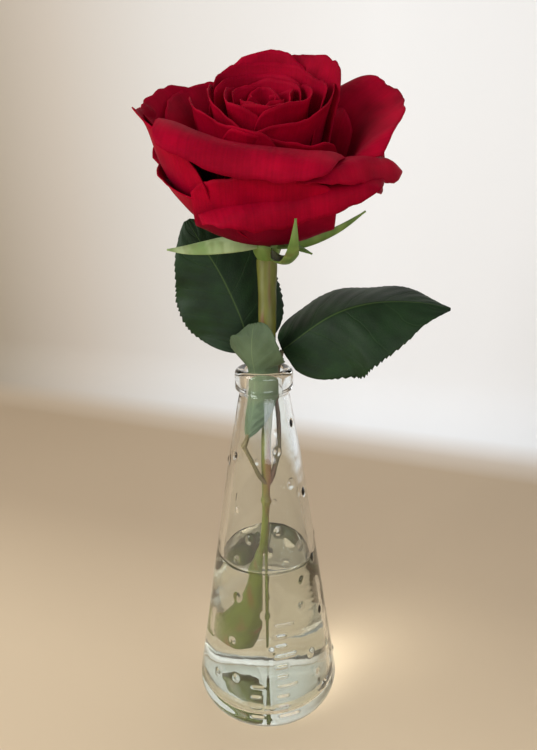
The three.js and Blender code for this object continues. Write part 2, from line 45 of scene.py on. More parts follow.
# The bottle: pairs are radius and height, arcs are the width and height of a rounding.
BOTTLE = {
    "push_up": [(0, 1.6), (14, 1.5), (22, 0.9), (25.4, 0.15)],
    "foot": 27.0,
    "heel": (34.9, 8.0),
    "shoulder": (16.9, 127.0),
    "neck": (11.2, 159.0),
    "collar": 13.0,
    "collar_height": 162.0,
    "height": 170.0,
    "mouth": 8.4,
    "wall": 3.1,
    "floor": 6.5,
    "floor_swell": [(0, 1.6), (9, 1.3), (18, 0.4), (23, 0)],
    "floor_arc": 6.5,
    "collar_arc": (1.2, 1.6),
    "rim_arc": 2.2,
    "lip_arc": (1.3, 1.5),
    "sides": 270,
    "row": 0.55,
    "inner_rows": 40,
}
WATER_LEVEL = 79.0
# The water's edge climbs the glass: distance in from the wall and height over the level.
WATER_EDGE = [(0.4, 0.25), (1.2, 0.05), (2.6, 0)]
WATER = {"climb": 0.6, "bite": 0.08, "sides": 96}

# Raised bubbles on the front, as azimuth and height; the ones behind follow by the golden angle.
FRONT_BUBBLES = [
    (235, 85), (239, 67.5), (310, 73.6), (313, 90), (306, 61.5), (334, 52), (334, 80), (236, 45),
    (274, 43), (312, 36), (318, 24), (324, 14.5), (242, 27), (223, 24.5), (338, 32), (268, 60.6),
    (336, 113), (310, 120), (214, 132), (228, 107.5), (332, 146), (250, 96), (285, 100), (290, 136),
]
BACK_BUBBLES = {"count": 16, "lowest": 14, "highest": 146, "turn": 137.5, "span": 180}
BUBBLE = {"radius": 2.1, "stretch": 1.25, "rise": 0.65, "power": 1.7, "reach": 3}
# Waves in the glass: how high they stand outside, how much more inside, and how close they are.
WAVES = {"rise": 0.12, "inside": -2.5, "stretch": 0.6, "per_metre": 60}
BAR = {"rise": 0.7, "half": 0.825, "soft_ends": 0.6, "long_every": 3}
BARS = [
    {"pitch": 5, "rows": 10, "lowest": 10, "start": 278, "long": 17, "short": 9},
    {"pitch": 5, "rows": 4, "lowest": 10, "start": 257.5, "long": 9, "short": 6},
]
SEAM = {"azimuth": 268.75, "rise": 0.45, "width": 0.7, "fades": (80, 96)}

# Stem: points up its middle with the radius there, from the cut end to the flower.
STEM = [
    (-8.5, 22.4, 14, 5.3), (-7.4, 20.1, 23, 5.3), (-4.4, 13.8, 42, 4.6), (-2.4, 7.4, 62, 3.3),
    (-1.2, 3, 79, 2.2), (-0.7, 1, 92, 1.8), (-0.3, 0.2, 101.5, 1.8), (-0.2, 0, 104.5, 2.5),
    (-0.1, 0, 107.5, 1.9), (0.4, 0, 118, 2.3), (0.6, 0, 133, 2.3), (1.1, 0, 145, 2.4),
    (1.7, 0.2, 166, 3.3), (1.7, 1.4, 187, 3.8), (1.9, 3.8, 203, 4.0), (2, 5.9, 216.6, 4.3),
]
# The bark turns to its foot colour from one height to the other, down to a share of it.
FOOT = {"dry": 170, "to_foot": 50, "share": 0.8}
FRONT_STALK = [
    (0.2, -1, 114.5, 1.3), (-2.9, -2.6, 119, 0.95), (-6, -3.2, 126.5, 0.9), (-8.9, -3.6, 133, 0.95),
    (-9.2, -3.8, 134.6, 1.25), (-7.9, -4.4, 138, 0.95), (-7.2, -4.7, 140.5, 0.8),
]
SIDE_STALK = [
    (1.1, 0.4, 113.5, 1.6), (3.9, 1, 119, 1.4), (6.4, 1.4, 130, 1.2), (6.6, 2.4, 142, 1.05),
    (5.9, 3.3, 155, 1.0), (6.1, 3.3, 167, 1.0), (8.2, 2.1, 177.3, 1.0),
]
BACK_STALK = [
    (6.1, 3.3, 166, 0.95), (4.2, 5.9, 172, 0.85), (-1, 7.4, 174.6, 0.85), (-6.1, 8.2, 176.4, 0.85),
]

LEAF = {
    "thickness": 0.35, "columns": 32, "rows": 96,
    "teeth": 24, "tooth": 0.045, "side_veins": 9, "quilt": 0.35, "narrowest": 0.35,
}
# face is the way the upper side looks; widest, blunt and the rest are read by leaf_point.
LEAVES = {
    "leaf_right": {
        "midrib": [(8.2, 2.1, 177.3), (28, 0.5, 192), (45, -2, 198.3), (64, -4, 199), (78.5, -6, 196.5)],
        "face": (0, -0.6, 0.8), "width": 26.5, "widest": 0.4, "blunt": (0.34, 0.95), "fold": 0.36,
        "bend": 60, "wave": 1.1,
    },
    "leaf_left": {
        "midrib": [(-6.2, 8.2, 176.5), (-10.5, 10.6, 191), (-18.5, 12.7, 209), (-26.2, 13.4, 222),
                   (-32.5, 13.4, 233)],
        "face": (0.12, -0.95, 0.3), "width": 25, "widest": 0.4, "blunt": (0.45, 0.8), "fold": 0.12,
        "bend": 70, "wave": 1.2,
    },
    "leaf_front": {
        "midrib": [(-7.4, -4.6, 139), (-5.2, -4.9, 150), (-3.8, -5.2, 160), (-3.9, -5.5, 169),
                   (-4.9, -7.6, 178), (-4.6, -8, 186), (-3.8, -4.8, 191)],
        "face": (-0.55, -0.83, 0), "width": 14.5, "widest": 0.7, "blunt": (0.8, 0.5), "bend": 6.5,
        "flare": 170, "free": 0.6,
    },
}

# The flower leans to the camera on its stem. The hip's points are radius and height from the flower.
FLOWER = {"at": (2, 2, 226), "tilt": 28}
HIP = [(4.4, -9.6), (5.6, -7), (6.3, -4), (6.2, -1.6), (5.2, -0.3)]
HIP_GRID = {"rows": 24, "sides": 48}
SEPAL = {"widest": 0.3, "blunt": (0.6, 0.9), "bend": 5.5, "fold": 0.1, "quilt": 0.0}
SEPAL_WALL = {"thickness": 0.5, "columns": 14, "rows": 60}
SEPALS = {
    "sepal_left": {"midrib": [(-0.5, 1.5, 223.5), (-7, -4, 225.2), (-15, -7, 224.6), (-24, -9, 223.2),
                              (-31, -10.5, 222.4), (-37.5, -12, 222.5)],
                   "face": (0.1, -0.8, 0.6), "width": 4.3},
    "sepal_front": {"midrib": [(4, -0.5, 221), (7.6, -15, 217.8), (9.8, -32, 218.6), (10.5, -45.4, 221.6),
                               (11, -53.2, 227.3), (11.4, -54.8, 235)],
                    "face": (0.2, -0.9, -0.3), "width": 4.6},
    "sepal_small": {"midrib": [(5, 1.5, 222.5), (12, -3.5, 223.2), (20.5, -5.5, 219.6)],
                    "face": (0.1, -0.6, 0.8), "width": 2.2},
    "sepal_right": {"midrib": [(5, 4, 223.5), (17, 3, 223), (31, 2, 228.4), (43, 3, 236)],
                    "face": (0.1, -0.8, -0.5), "width": 2.4},
    "sepal_back": {"midrib": [(1.5, 6, 223.5), (3.5, 17, 223), (6, 27, 218)],
                   "face": (0, 0.2, 0.95), "width": 3},
}

PETAL = {
    "thickness": 0.42, "columns": 44, "rows": 44, "slices": 8,
    "full_width_at": 0.62, "full_cup_at": 0.7, "steepest": 100,
}
HEART = {"petals": 12, "turn": 137.5, "start": 40, "radius": 3, "growth": 13, "height": 55.5, "rise": 2.5}
# Open petals: see petal_point for what each value does.
PETALS = {
    "vee_left": dict(seat=9, phi=206, width=54, crest=(17, 38), tip=(19.5, 56.5), headings=(50, 2, 14),
                     cup=(15, 34), roll=12, rounding=0.07, power=3, corner=0.16, sway=-3, droop=4),
    "vee_right": dict(seat=8, phi=322, width=62, crest=(18, 38), tip=(22, 55.5), headings=(48, 4, 16),
                      cup=(15, 32), roll=12, rounding=0.07, power=3, corner=0.16, sway=3, droop=1),
    "mid_left": dict(seat=7.4, phi=222, width=56, crest=(21, 37), tip=(25, 55), headings=(52, 8, 22),
                     cup=(16, 36), roll=18, rounding=0.1, power=3, corner=0.18),
    "mid_front": dict(seat=6.6, phi=286, width=46, crest=(23, 36), tip=(28, 51), headings=(52, 10, 26),
                      cup=(16, 38), roll=18, rounding=0.1, power=3, corner=0.18, sway=-5),
    "hump_back": dict(seat=7, phi=54, width=46, crest=(22, 42), tip=(31, 61.5), headings=(50, 8, 36),
                      cup=(15, 26), roll=35, rounding=0.14, corner=0.08, sway=-3, droop=1, spiral=3),
    "cup_back": dict(seat=5, phi=95, width=45, crest=(24, 41), tip=(29.5, 61.5), headings=(50, 8, 24),
                     cup=(15, 34), roll=30, rounding=0.2, corner=0.1, sway=-5, droop=4),
    "open_right": dict(seat=3, phi=8, width=64, crest=(34, 38), tip=(50, 53), headings=(62, 22, 50),
                       cup=(18, 26), roll=50, rounding=0.1, power=3, sway=2.5, droop=14),
    "open_back_right": dict(seat=4, phi=64, width=54, crest=(29, 36), tip=(38, 42), headings=(58, 24, 50),
                            cup=(18, 34), roll=50, rounding=0.2),
    "open_back": dict(seat=4, phi=140, width=54, crest=(29, 38), tip=(38, 51), headings=(58, 20, 40),
                      cup=(18, 34), roll=40, rounding=0.2, droop=2),
    "open_left_back": dict(seat=3, phi=172, width=52, crest=(33, 38), tip=(44, 53), headings=(60, 30, 50),
                           cup=(18, 28), roll=45, rounding=0.18, droop=3),
    "open_left": dict(seat=1.5, phi=203, width=58, crest=(38.5, 36), tip=(46, 59), headings=(60, 20, 40),
                      cup=(18, 34), roll=30, rounding=0.16, point=0.06, droop=5),
    "fold_front": dict(seat=3, phi=259.3, width=70.5, crest=(35, 53.3), tip=(44, 46.5),
                       headings=(45, 78, 165), cup=(20, 44), roll=0, rounding=0.15, corner=0.15, sway=-4,
                       droop=13),
    "fold_right": dict(seat=2, phi=317, width=49, crest=(42, 46), tip=(48, 37), headings=(55, 80, 150),
                       cup=(19, 60), roll=30, rounding=0.14, power=2.4, point=0.03, point_at=0.6, sway=-6,
                       droop=10),
    "outer_front": dict(seat=0.3, phi=285, width=64, crest=(40, 39), tip=(44.2, 30.2),
                        headings=(49, 85, 172), cup=(24, 60), roll=10, rounding=0.2, power=2.4, sway=4,
                        droop=11.5),
    "outer_right": dict(seat=0.2, phi=350, width=60, crest=(35, 27), tip=(45, 27), headings=(66, 70, 110),
                        cup=(22, 32), roll=60, rounding=0.22),
    "outer_left": dict(seat=0.2, phi=212, width=60, crest=(36, 27), tip=(41.5, 36), headings=(60, 30, 50),
                       cup=(22, 40), roll=30, rounding=0.3, droop=2),
    "outer_back": dict(seat=0.2, phi=55, width=66, crest=(35, 29), tip=(45, 33), headings=(64, 60, 100),
                       cup=(22, 34), roll=55, rounding=0.28),
    "outer_back_left": dict(seat=0, phi=135, width=66, crest=(36, 29), tip=(46, 34), headings=(64, 60, 100),
                            cup=(22, 34), roll=55, rounding=0.28),
    "inner_right": dict(seat=8.6, phi=26, width=38, crest=(17, 40), tip=(21, 59), headings=(46, 4, 12),
                        cup=(14, 24), roll=10, rounding=0.1, power=3, corner=0.14),
    "inner_back": dict(seat=8.3, phi=92, width=46, crest=(16.5, 42), tip=(21, 60.5), headings=(46, 4, 16),
                       cup=(14, 24), roll=14, rounding=0.12, power=3, corner=0.14),
    "under_front": dict(seat=1, phi=269, width=50, crest=(40, 29), tip=(42, 47), headings=(49, 12, 4),
                        cup=(24, 50), roll=0, rounding=0.1, power=3, droop=3),
}

# ---------------------------------------------------------------- materials


def colour(code):
    """sRGB hex to the linear colour that a shader takes."""
    channels = [int(code[i:i + 2], 16) / 255 for i in (1, 3, 5)]
    return (*[c / 12.92 if c <= 0.04045 else ((c + 0.055) / 1.055) ** 2.4 for c in channels], 1)


def grey(value):
    return (value, value, value, 1)


def add(tree, kind, inputs=None, output=0, stops=(), **settings):
    """Adds a shader node and gives one of its outputs.

    inputs are values or sockets to link from, settings are the node's own, and stops are the places and
    colours of a ramp.
    """
    made = tree.nodes.new(kind)
    for name, value in settings.items():
        setattr(made, name, value)
    for name, value in (inputs or {}).items():
        if isinstance(value, bpy.types.NodeSocket):
            tree.links.new(value, made.inputs[name])
        else:
            made.inputs[name].default_value = value
    for _ in stops[2:]:
        made.color_ramp.elements.new(0.5)
    for i, (place, tint) in enumerate(stops):
        made.color_ramp.elements[i].position = place
        made.color_ramp.elements[i].color = tint
    return made.outputs[output]


# The colour sockets of a mix node.
SHARE, FIRST, SECOND, MIXED = 0, 6, 7, 2


def new_material(name, **sockets):
    """A material with its Principled shader's plain sockets set."""
    made = bpy.data.materials.new(name)
    made.use_nodes = True
    shader = made.node_tree.nodes["Principled BSDF"]
    for socket, value in sockets.items():
        shader.inputs[socket.replace("_", " ")].default_value = value
    return made, made.node_tree, shader


def petal_material(name, painted_root_shade, middle, bright, edge):
    """Rose petal skin: tiny cones scatter the light, so it looks like velvet and never shines hard."""
    made, tree, shader = new_material(
        name, Roughness=0.62, IOR=1.4, Specular_IOR_Level=0.05,
        Sheen_Weight=0.04, Sheen_Roughness=0.35, Sheen_Tint=colour("#ff2048"),
        Subsurface_Weight=0.12, Subsurface_Radius=(0.9, 0.12, 0.12), Subsurface_Scale=1.2 * MM)
    uv = add(tree, "ShaderNodeUVMap", uv_map="blade")
    place = add(tree, "ShaderNodeTexCoord", output="Object")
    along = add(tree, "ShaderNodeSeparateXYZ", {"Vector": uv}, output="Y")
    # The petal is painted dark over its root third, as painted shade deep in the flower, and brightens
    # towards the rim.
    skin = add(tree, "ShaderNodeValToRGB", {"Fac": along}, stops=[
        (0.0, colour(painted_root_shade)), (0.35, colour(painted_root_shade)), (0.7, colour(middle)), (0.94, colour(bright)),
        (1.0, colour(edge))])
    # Broad darker clouds, 12.5 mm across.
    cloud = add(tree, "ShaderNodeTexNoise", {"Vector": place, "Scale": 1 / (12.5 * MM), "Detail": 3.0})
    cloud = add(tree, "ShaderNodeValToRGB", {"Fac": cloud}, stops=[(0.35, grey(0.72)), (0.65, grey(1.12))])
    skin = add(tree, "ShaderNodeMix", {SHARE: 1.0, FIRST: skin, SECOND: cloud}, MIXED,
               data_type="RGBA", blend_type="MULTIPLY")
    # 70 fine streaks side by side, 0.8 mm each, that run from root to edge.
    streak = add(tree, "ShaderNodeMapping", {"Vector": uv, "Scale": (70.0, 3.0, 1.0)})
    streak = add(tree, "ShaderNodeTexNoise", {"Vector": streak, "Scale": 1.0, "Detail": 4.0})
    vein = add(tree, "ShaderNodeValToRGB", {"Fac": streak}, stops=[(0.38, grey(0.78)), (0.6, grey(1.05))])
    skin = add(tree, "ShaderNodeMix", {SHARE: 0.4, FIRST: skin, SECOND: vein}, MIXED,
               data_type="RGBA", blend_type="MULTIPLY")
    tree.links.new(skin, shader.inputs["Base Color"])
    # The real cones are 0.03 mm, too fine to show, so the grain of the velvet is drawn at 0.56 mm.
    grain = add(tree, "ShaderNodeTexNoise", {"Vector": place, "Scale": 1 / (0.556 * MM), "Detail": 2.0})
    height = add(tree, "ShaderNodeMath", {0: streak, 1: grain}, operation="ADD")
    bump = add(tree, "ShaderNodeBump", {"Height": height, "Strength": 0.35, "Distance": 0.12 * MM})
    tree.links.new(bump, shader.inputs["Normal"])
    return made


def leaf_material(name, base, dark, rib, roughness, coat):
    """Rose leaf: waxy skin with a soft shine, over a net of veins that branch off to the tip."""
    made, tree, shader = new_material(
        name, Roughness=roughness, IOR=1.42, Coat_Weight=coat, Coat_Roughness=0.3, Specular_IOR_Level=0.3,
        Subsurface_Weight=0.05, Subsurface_Radius=(0.2, 0.4, 0.1), Subsurface_Scale=1.0 * MM)
    uv = add(tree, "ShaderNodeUVMap", uv_map="blade")
    place = add(tree, "ShaderNodeTexCoord", output="Object")
    across = add(tree, "ShaderNodeSeparateXYZ", {"Vector": uv}, output="X")
    along = add(tree, "ShaderNodeSeparateXYZ", {"Vector": uv}, output="Y")
    across = add(tree, "ShaderNodeMath", {0: across, 1: 0.5}, operation="SUBTRACT")
    reach = add(tree, "ShaderNodeMath", {0: across}, operation="ABSOLUTE")
    # The side veins are even along the midrib, slant to the tip and wander every 8 mm or so.
    wander = add(tree, "ShaderNodeTexNoise", {"Vector": place, "Scale": 1 / (8.33 * MM), "Detail": 2.0})
    wander = add(tree, "ShaderNodeMath", {0: wander, 1: 0.06}, operation="MULTIPLY")
    slant = add(tree, "ShaderNodeMath", {0: reach, 1: -0.5}, operation="MULTIPLY")
    order = add(tree, "ShaderNodeMath", {0: along, 1: slant}, operation="ADD")
    order = add(tree, "ShaderNodeMath", {0: order, 1: wander}, operation="ADD")
    order = add(tree, "ShaderNodeMath", {0: order, 1: LEAF["side_veins"]}, operation="MULTIPLY")
    side_vein = add(tree, "ShaderNodeMath", {0: order, 1: 1.0}, operation="PINGPONG")
    side_vein = add(tree, "ShaderNodeValToRGB", {"Fac": side_vein},
                    stops=[(0.0, grey(1)), (0.04, grey(0.3)), (0.1, grey(0))])
    mid_vein = add(tree, "ShaderNodeValToRGB", {"Fac": reach},
                   stops=[(0.0, grey(0.6)), (0.004, grey(0.45)), (0.01, grey(0))])
    # The net between them has meshes 1.4 mm wide.
    net = add(tree, "ShaderNodeTexVoronoi", {"Vector": place, "Scale": 1 / (1.43 * MM)},
              feature="DISTANCE_TO_EDGE")
    net = add(tree, "ShaderNodeValToRGB", {"Fac": net}, stops=[(0.0, grey(0.35)), (0.12, grey(0))])
    # Darker clouds, 11 mm across.
    cloud = add(tree, "ShaderNodeTexNoise", {"Vector": place, "Scale": 1 / (11.1 * MM), "Detail": 4.0})
    cloud = add(tree, "ShaderNodeValToRGB", {"Fac": cloud}, stops=[(0.35, grey(0)), (0.7, grey(1))])
    skin = add(tree, "ShaderNodeMix", {SHARE: cloud, FIRST: colour(dark), SECOND: colour(base)}, MIXED,
               data_type="RGBA")
    faint = add(tree, "ShaderNodeMath", {0: side_vein, 1: 0.08}, operation="MULTIPLY")
    for vein in (faint, mid_vein):
        skin = add(tree, "ShaderNodeMix", {SHARE: vein, FIRST: skin, SECOND: colour(rib)}, MIXED,
                   data_type="RGBA")
    tree.links.new(skin, shader.inputs["Base Color"])
    height = add(tree, "ShaderNodeMath", {0: side_vein, 1: net}, operation="ADD")
    height = add(tree, "ShaderNodeMath", {0: height, 1: mid_vein}, operation="ADD")
    bump = add(tree, "ShaderNodeBump", {"Height": height, "Strength": 0.5, "Distance": 0.25 * MM},
               invert=True)
    tree.links.new(bump, shader.inputs["Normal"])
    return made


def bark_material(name, low, high, blush, roughness=0.55, foot=None):
    """Young rose stem: smooth green bark with long fine ridges and a reddish blush here and there.

    With a foot colour the bark darkens towards the cut end of the stem.
    """
    made, tree, shader = new_material(
        name, Roughness=roughness, IOR=1.42, Coat_Weight=0.15, Coat_Roughness=0.35)
    place = add(tree, "ShaderNodeTexCoord", output="Object")
    uv = add(tree, "ShaderNodeUVMap", uv_map="blade")
    # Long patches of the second green, 7.7 by 38.5 mm.
    patch = [1 / (size * MM) for size in (7.7, 7.7, 38.5)]
    patch = add(tree, "ShaderNodeMapping", {"Vector": place, "Scale": patch})
    patch = add(tree, "ShaderNodeTexNoise", {"Vector": patch, "Scale": 1.0, "Detail": 3.0})
    patch = add(tree, "ShaderNodeValToRGB", {"Fac": patch}, stops=[(0.4, grey(0)), (0.62, grey(1))])
    skin = add(tree, "ShaderNodeMix", {SHARE: patch, FIRST: colour(low), SECOND: colour(high)}, MIXED,
               data_type="RGBA")
    if foot:
        height = add(tree, "ShaderNodeSeparateXYZ", {"Vector": place}, output="Z")
        to_foot = add(tree, "ShaderNodeMapRange", {
            "Value": height, "From Min": FOOT["dry"] * MM, "From Max": FOOT["to_foot"] * MM,
            "To Min": 0.0, "To Max": FOOT["share"]})
        skin = add(tree, "ShaderNodeMix", {SHARE: to_foot, FIRST: skin, SECOND: colour(foot)}, MIXED,
                   data_type="RGBA")
    # Flecks of blush, 4.8 by 33 mm.
    fleck = [1 / (size * MM) for size in (4.76, 4.76, 33.3)]
    fleck = add(tree, "ShaderNodeMapping", {"Vector": place, "Location": (3.1, 1.7, 0.4), "Scale": fleck})
    fleck = add(tree, "ShaderNodeTexNoise", {"Vector": fleck, "Scale": 1.0, "Detail": 2.0})
    fleck = add(tree, "ShaderNodeValToRGB", {"Fac": fleck}, stops=[(0.5, grey(0)), (0.72, grey(0.85))])
    skin = add(tree, "ShaderNodeMix", {SHARE: fleck, FIRST: skin, SECOND: colour(blush)}, MIXED,
               data_type="RGBA")
    tree.links.new(skin, shader.inputs["Base Color"])
    # 26 ridges round the stem, a millimetre each.
    ridge = add(tree, "ShaderNodeMapping", {"Vector": uv, "Scale": (26.0, 5.0, 1.0)})
    ridge = add(tree, "ShaderNodeTexNoise", {"Vector": ridge, "Scale": 1.0, "Detail": 4.0})
    bump = add(tree, "ShaderNodeBump", {"Height": ridge, "Strength": 0.5, "Distance": 0.2 * MM})
    tree.links.new(bump, shader.inputs["Normal"])
    return made


def glass_material():
    """Soda-lime container glass, blown in a mould: clear and thick, with faint waves that bend the view."""
    made, tree, shader = new_material(
        "soda_lime_glass", Base_Color=colour("#f7faf8"), Roughness=0.015, IOR=1.51, Transmission_Weight=1.0)
    place = add(tree, "ShaderNodeTexCoord", output="Object")
    # The waves are 10.5 mm long.
    wave = add(tree, "ShaderNodeTexNoise", {"Vector": place, "Scale": 1 / (10.5 * MM), "Detail": 2.0})
    bump = add(tree, "ShaderNodeBump", {"Height": wave, "Strength": 0.25, "Distance": 0.5 * MM})
    tree.links.new(bump, shader.inputs["Normal"])
    return made


def water_material():
    """Still tap water: clear and dead smooth but for swells that keep it from looking cast."""
    made, tree, shader = new_material(
        "still_water", Base_Color=colour("#f6f8f4"), Roughness=0.0, IOR=1.333, Transmission_Weight=1.0)
    place = add(tree, "ShaderNodeTexCoord", output="Object")
    # The swells are 17 mm long.
    swell = add(tree, "ShaderNodeTexNoise", {"Vector": place, "Scale": 1 / (16.7 * MM), "Detail": 1.0})
    bump = add(tree, "ShaderNodeBump", {"Height": swell, "Strength": 0.04, "Distance": 0.4 * MM})
    tree.links.new(bump, shader.inputs["Normal"])
    return made


# The hip and the sepals have a duller skin than the stem, and the inside of a sepal is pale and woolly.
MATERIALS = {
    "glass": glass_material(),
    "water": water_material(),
    "stem": bark_material("rose_bark", "#565718", "#6e7022", "#6a2c12", foot="#414c05"),
    "stalk": bark_material("leaf_stalk_skin", "#4a4124", "#5a4f28", "#4c1d16"),
    "calyx": bark_material("calyx_skin", "#56722f", "#70893f", "#6d6532", 0.62),
    "sepal_under": bark_material("sepal_back_skin", "#545a33", "#6f6f42", "#654a31", 0.65),
    "sepal_wool": bark_material("sepal_inner_wool", "#7f9a5a", "#a9bb86", "#7f8a52", 0.8),
    "petal": petal_material("petal_face", "#3a0012", "#74001c", "#98001f", "#90001d"),
    "petal_back": petal_material("petal_back", "#5a0018", "#88021f", "#980322", "#8e0220"),
    "leaf_top": leaf_material("leaf_upper_skin", "#183212", "#0f230b", "#4a602e", 0.6, 0.04),
    "leaf_under": leaf_material("leaf_lower_skin", "#546448", "#46553b", "#708058", 0.65, 0.0),
}

# ---------------------------------------------------------------- shaping helpers


def smooth_step(low, high, x):
    """0 below low, 1 above high, and a soft rise between."""
    t = min(1.0, max(0.0, (x - low) / (high - low)))
    return t * t * (3 - 2 * t)


def curve_through(points, t):
    """A point on the smooth curve through points of any length, t from 0 to 1, even by point."""
    last = len(points) - 1
    place = min(max(t, 0.0), 1.0) * last
    i = min(int(place), last - 1)
    f = place - i
    before, start, end, after = (points[min(max(k, 0), last)] for k in (i - 1, i, i + 1, i + 2))
    return [
        0.5 * (2 * b + (c - a) * f + (2 * a - 5 * b + 4 * c - d) * f * f + (3 * b - a - 3 * c + d) * f ** 3)
        for a, b, c, d in zip(before, start, end, after)
    ]


class Path:
    """A smooth curve through points that is read by its true length."""

    def __init__(self, points, steps=400):
        self.points = [[float(x) for x in p] for p in points]
        self.lengths = [0.0]
        last = self.raw(0)
        for k in range(1, steps + 1):
            here = self.raw(k / steps)
            self.lengths.append(self.lengths[-1] + math.dist(last[:3], here[:3]))
            last = here

    def raw(self, t):
        return curve_through(self.points, t)

    def at(self, share):
        """The point (and what follows it) at a share of the length."""
        goal = min(max(share, 0.0), 1.0) * self.lengths[-1]
        low, high = 0, len(self.lengths) - 1
        while high - low > 1:
            middle = (low + high) // 2
            if self.lengths[middle] <= goal:
                low = middle
            else:
                high = middle
        gap = self.lengths[high] - self.lengths[low] or 1.0
        return self.raw((low + (goal - self.lengths[low]) / gap) / (len(self.lengths) - 1))

    def heading(self, share):
        step = 0.004
        a, b = (Vector(self.at(s)[:3]) for s in (max(0, share - step), min(1, share + step)))
        return (b - a).normalized()


def grid_mesh(columns, rows, place, closed=False):
    """A bmesh grid whose points are put where place(u, v) says; closed joins its two sides into a tube."""
    shape = bmesh.new()
    bmesh.ops.create_grid(shape, x_segments=columns, y_segments=rows, size=1, calc_uvs=True)
    layer = shape.loops.layers.uv.new("blade")
    for face in shape.faces:
        for loop in face.loops:
            flat = loop.vert.co
            loop[layer].uv = ((flat.x + 1) / 2, (flat.y + 1) / 2)
    for point in shape.verts:
        u, v = point.co.x, (point.co.y + 1) / 2
        point.co = Vector(place(u, v)) * MM
    if closed:
        bmesh.ops.remove_doubles(shape, verts=shape.verts, dist=1e-6)
    return shape


def close_ends(shape):
    """Caps a tube or a shell of revolution."""
    open_edges = [edge for edge in shape.edges if edge.is_boundary]
    bmesh.ops.holes_fill(shape, edges=open_edges, sides=0)


def finish_piece(name, shape, materials, node, thickness=0.0, turn_out=True):
    """Makes the object, smooth and closed, hides the model part it stands for and lets it ride.

    A sheet gets its thickness here, and its second material on its back.
    """
    if turn_out:
        bmesh.ops.recalc_face_normals(shape, faces=shape.faces)
    mesh = bpy.data.meshes.new(name)
    shape.to_mesh(mesh)
    shape.free()
    for layer in [each for each in mesh.uv_layers if each.name != "blade"]:
        mesh.uv_layers.remove(layer)
    piece = bpy.data.objects.new(name, mesh)
    bpy.context.scene.collection.objects.link(piece)
    for material in materials:
        mesh.materials.append(material)
    mesh.shade_smooth()
    if thickness:
        wall = piece.modifiers.new("thickness", "SOLIDIFY")
        wall.thickness = thickness * MM
        wall.offset = 0
        wall.material_offset = len(materials) - 1
    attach(piece, "root")
    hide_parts(node)
    return piece


def tube_mesh(points, sides, rows, ridge, seed=0.0):
    """A closed stalk along (x, y, z, radius) points, a little uneven in its roundness."""
    path = Path(points)
    upright = Vector((0.3, 1, 0.1)).normalized()

    def place(u, v):
        x, y, z, radius = path.at(v)
        ahead = path.heading(v)
        side = ahead.cross(upright).normalized()
        across = side.cross(ahead)
        angle = math.pi * u
        uneven = noise.noise(Vector((math.cos(angle), math.sin(angle), z * 0.12 + seed))) * ridge
        reach = radius * (1 + uneven)
        return Vector((x, y, z)) + side * math.cos(angle) * reach + across * math.sin(angle) * reach

    shape = grid_mesh(sides, rows, place, closed=True)
    close_ends(shape)
    return shape


# ---------------------------------------------------------------- bottle and water


def wall_radius(z):
    """Radius of the outside on the cone and the neck."""
    heel, heel_z = BOTTLE["heel"]
    shoulder, shoulder_z = BOTTLE["shoulder"]
    neck, neck_z = BOTTLE["neck"]
    if z < shoulder_z:
        return heel + (shoulder - heel) * (z - heel_z) / (shoulder_z - heel_z)
    return shoulder + (neck - shoulder) * (z - shoulder_z) / (neck_z - shoulder_z)


def arc(centre, reach, first, last, steps):
    """Points of an elliptical arc from one angle to another."""
    turns = [math.radians(first + (last - first) * i / steps) for i in range(steps + 1)]
    return [(centre[0] + reach[0] * math.cos(t), centre[1] + reach[1] * math.sin(t)) for t in turns]


def bottle_outside():
    """The profile from the middle of the foot up the wall, over the collar and into the mouth."""
    heel, heel_z = BOTTLE["heel"]
    foot, collar, top = BOTTLE["foot"], BOTTLE["collar"], BOTTLE["height"]
    neck_z = BOTTLE["neck"][1]
    under, rim, lip = BOTTLE["collar_arc"], BOTTLE["rim_arc"], BOTTLE["lip_arc"]
    points = BOTTLE["push_up"] + arc((foot, heel_z), (heel - foot, heel_z), -100, 0, 12)[1:]
    rows = int((neck_z - heel_z) / BOTTLE["row"])
    heights = [heel_z + (neck_z - heel_z) * i / rows for i in range(1, rows + 1)]
    points += [(wall_radius(z), z) for z in heights]
    points += arc((collar - under[0], BOTTLE["collar_height"]), under, -75, 0, 6)
    points += arc((collar - rim, top - rim), (rim, rim), 0, 90, 8)
    points += arc((BOTTLE["mouth"] + lip[0], top - lip[1]), lip, 90, 180, 6)[1:]
    return points


def hollow(top, grow=0.0):
    """The inside of the bottle from its floor up to a height, as radius and height."""
    bend = BOTTLE["floor_arc"]
    points = [(radius, BOTTLE["floor"] - grow + swell) for radius, swell in BOTTLE["floor_swell"]]
    low = BOTTLE["floor"] + bend
    inner = wall_radius(low) - BOTTLE["wall"] + grow
    points += arc((inner - bend, low - grow), (bend, bend), -88, 0, 10)
    steps = BOTTLE["inner_rows"]
    heights = [low + (top - low) * i / steps for i in range(1, steps + 1)]
    return points + [(wall_radius(z) - BOTTLE["wall"] + grow, z) for z in heights]


def spun(profile, sides):
    """Turns a profile of (radius, height) points about Z."""
    shape = bmesh.new()
    points = [shape.verts.new((r * MM, 0, z * MM)) for r, z in profile]
    edges = [shape.edges.new(pair) for pair in zip(points, points[1:])]
    bmesh.ops.spin(shape, geom=points + edges, angle=2 * math.pi, steps=sides, axis=(0, 0, 1),
                   cent=(0, 0, 0), use_merge=True)
    bmesh.ops.remove_doubles(shape, verts=shape.verts, dist=1e-6)
    return shape


def bubble_places():
    """Azimuth and height of every bubble."""
    spread = BACK_BUBBLES
    back = [
        (((i * spread["turn"]) % 360) * spread["span"] / 360,
         spread["lowest"] + (spread["highest"] - spread["lowest"]) * (i + 0.5) / spread["count"])
        for i in range(spread["count"])
    ]
    return FRONT_BUBBLES + back


def round_the_glass(turn, radius):
    """Millimetres round the bottle for a turn in degrees, the short way."""
    return math.radians((turn + 180) % 360 - 180) * radius


